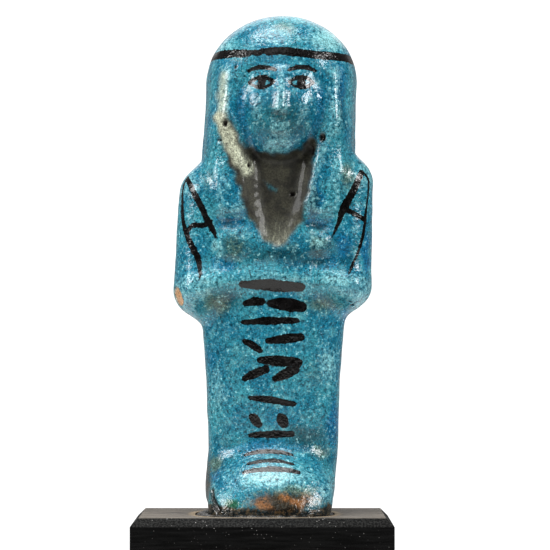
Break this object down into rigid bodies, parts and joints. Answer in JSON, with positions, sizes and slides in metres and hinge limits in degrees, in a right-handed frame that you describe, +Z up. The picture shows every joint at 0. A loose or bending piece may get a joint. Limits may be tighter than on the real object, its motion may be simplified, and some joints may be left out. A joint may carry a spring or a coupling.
{
  "type": "ushabti figurine",
  "caption": "Glazed mummiform ushabti figurine with a long wig and crossed arms, standing in the shallow socket of a chamfered black wooden stand.",
  "frame": {"origin": "on the ground under the middle of the stand", "axes": "+Z up along the figure; the figure looks along -Y; +X is at its left hand"},
  "size_m": [0.0434, 0.036, 0.1043],
  "materials": {
    "faience": "worn glossy turquoise glaze with black painted lines",
    "black_wood": "black stained, satin, worn pale at the socket"
  },
  "bodies": {
    "root": {"ushabti_figurine": "faience", "display_stand": "black_wood"}
  },
  "joints": []
}
